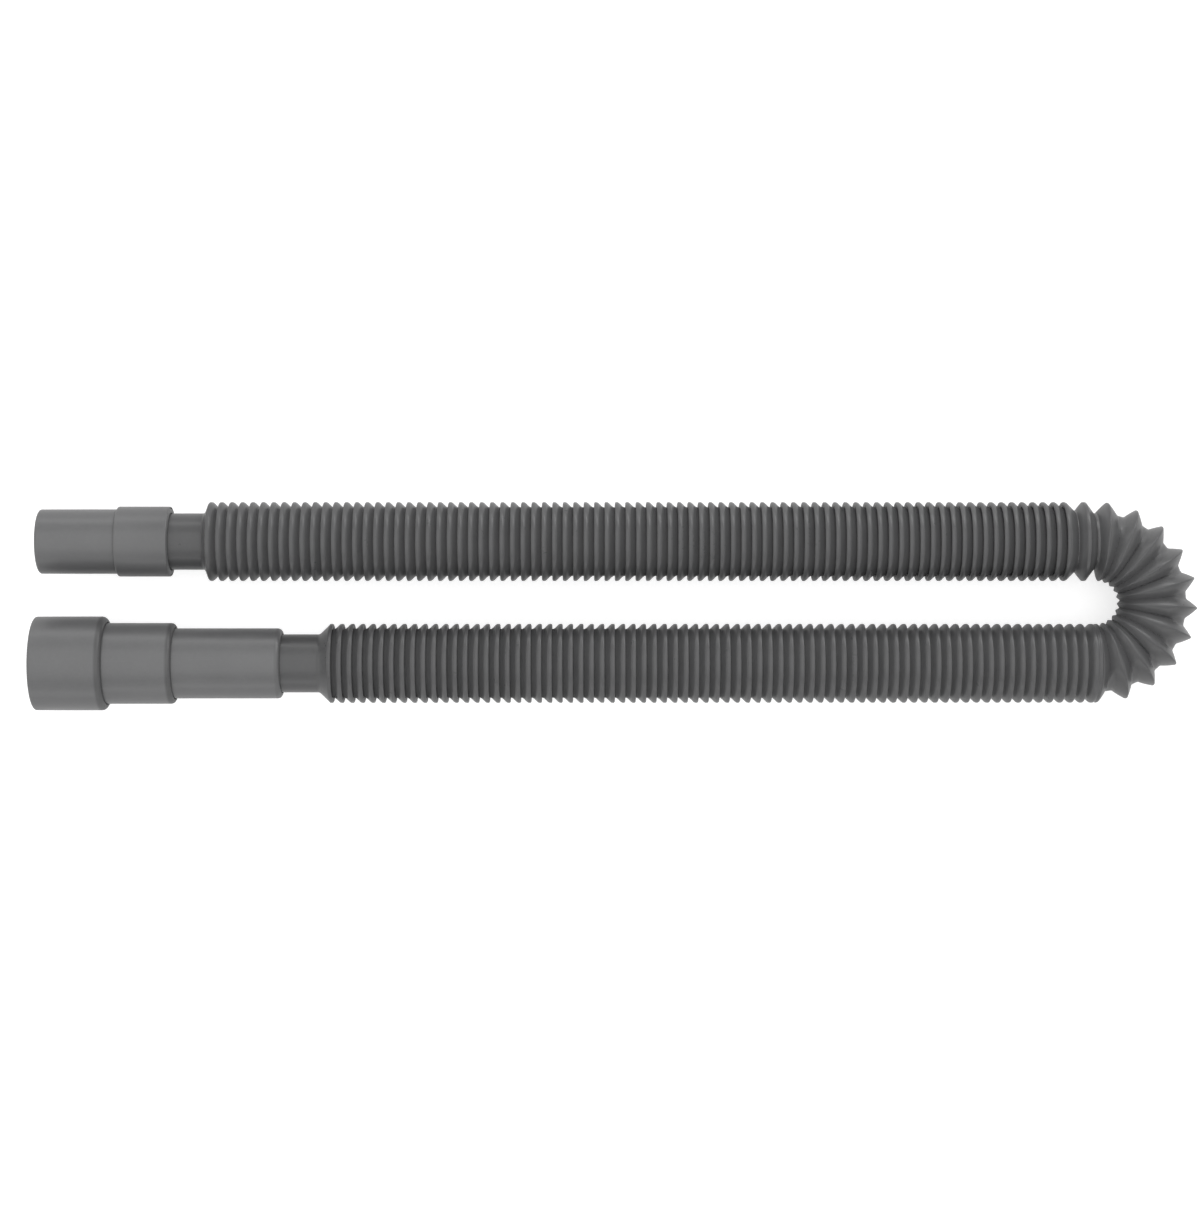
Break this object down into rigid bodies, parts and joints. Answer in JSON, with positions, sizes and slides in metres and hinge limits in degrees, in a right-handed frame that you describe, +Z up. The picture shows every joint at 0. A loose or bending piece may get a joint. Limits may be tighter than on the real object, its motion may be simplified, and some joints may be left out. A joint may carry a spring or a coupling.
{
  "type": "sewer hose kit",
  "caption": "Grey extendable waste hose folded into a flat U, with shut pleats on both runs, an open pleated bend and stepped push-fit couplings on its ends.",
  "frame": {"origin": "below the middle of the whole folded hose, on the ground that it lies on", "axes": "+X from the couplings to the bend, along both runs; +Y from the large coupling's run to the small coupling's run; +Z up"},
  "size_m": [0.7188, 0.1289, 0.0583],
  "materials": {
    "hose": "satin, moulded",
    "fitting": "satin, moulded",
    "seal": "matte"
  },
  "bodies": {
    "lower_hose": {"lower_run": "hose"},
    "large_neck": {"large_cuff": "hose"},
    "inner_coupling": {"inner_sleeve": "fitting", "inner_sleeve_seal": "seal", "middle_sleeve_seal": "seal"},
    "middle_coupling": {"middle_sleeve": "fitting", "outer_socket_seal": "seal"},
    "outer_coupling": {"outer_socket": "fitting", "socket_lip_seal": "seal"},
    "bend_a": {"bend_1": "hose"},
    "bend_b": {"bend_2": "hose"},
    "bend_c": {"bend_3": "hose"},
    "bend_d": {"bend_4": "hose"},
    "upper_hose": {"bend_5": "hose", "upper_run": "hose"},
    "small_neck": {"small_cuff": "hose"},
    "small_coupling": {"small_spigot": "fitting", "small_collar": "fitting", "small_seal": "seal"}
  },
  "joints": [
    {"name": "lower_run_extend", "type": "slide", "parent": "lower_hose", "child": "large_neck", "axis": [-1, 0, 0], "range_m": [0, 0.45], "deforming": ["lower_run"]},
    {"name": "large_coupling_swivel", "type": "hinge", "parent": "large_neck", "child": "inner_coupling", "pos_m": [-0.22396, -0.03545, 0.02833], "axis": [-1, 0, 0.0074], "continuous": true},
    {"name": "middle_sleeve_pull", "type": "slide", "parent": "inner_coupling", "child": "middle_coupling", "axis": [-1, 0, 0.0074], "range_m": [0, 0.036]},
    {"name": "outer_socket_pull", "type": "slide", "parent": "middle_coupling", "child": "outer_coupling", "axis": [-1, 0, 0.0074], "range_m": [0, 0.025]},
    {"name": "bend_flex_1", "type": "hinge", "parent": "lower_hose", "child": "bend_a", "pos_m": [0.3119, -0.03545, 0.0245], "axis": [0, 0, 1], "range_deg": [-42.4, 0], "deforming": ["bend_1"]},
    {"name": "bend_flex_2", "type": "hinge", "parent": "bend_a", "child": "bend_b", "pos_m": [0.33145, -0.0176, 0.0245], "axis": [0, 0, 1], "range_deg": [-34.9, 0], "deforming": ["bend_2"]},
    {"name": "bend_flex_3", "type": "hinge", "parent": "bend_b", "child": "bend_c", "pos_m": [0.33666, 0.00552, 0.0245], "axis": [0, 0, 1], "range_deg": [-34.9, 0], "deforming": ["bend_3"]},
    {"name": "bend_flex_4", "type": "hinge", "parent": "bend_c", "child": "bend_d", "pos_m": [0.3277, 0.02747, 0.0245], "axis": [0, 0, 1], "range_deg": [-34.9, 0], "deforming": ["bend_4"]},
    {"name": "bend_flex_5", "type": "hinge", "parent": "bend_d", "child": "upper_hose", "pos_m": [0.30841, 0.03995, 0.0245], "axis": [0, 0, 1], "range_deg": [-32.9, 0], "deforming": ["bend_5"]},
    {"name": "upper_run_extend", "type": "slide", "parent": "upper_hose", "child": "small_neck", "axis": [-1, 0, 0], "range_m": [0, 0.5055], "deforming": ["upper_run"]},
    {"name": "small_coupling_swivel", "type": "hinge", "parent": "small_neck", "child": "small_coupling", "pos_m": [-0.29061, 0.03995, 0.0245], "axis": [-1, 0, 0], "continuous": true}
  ]
}
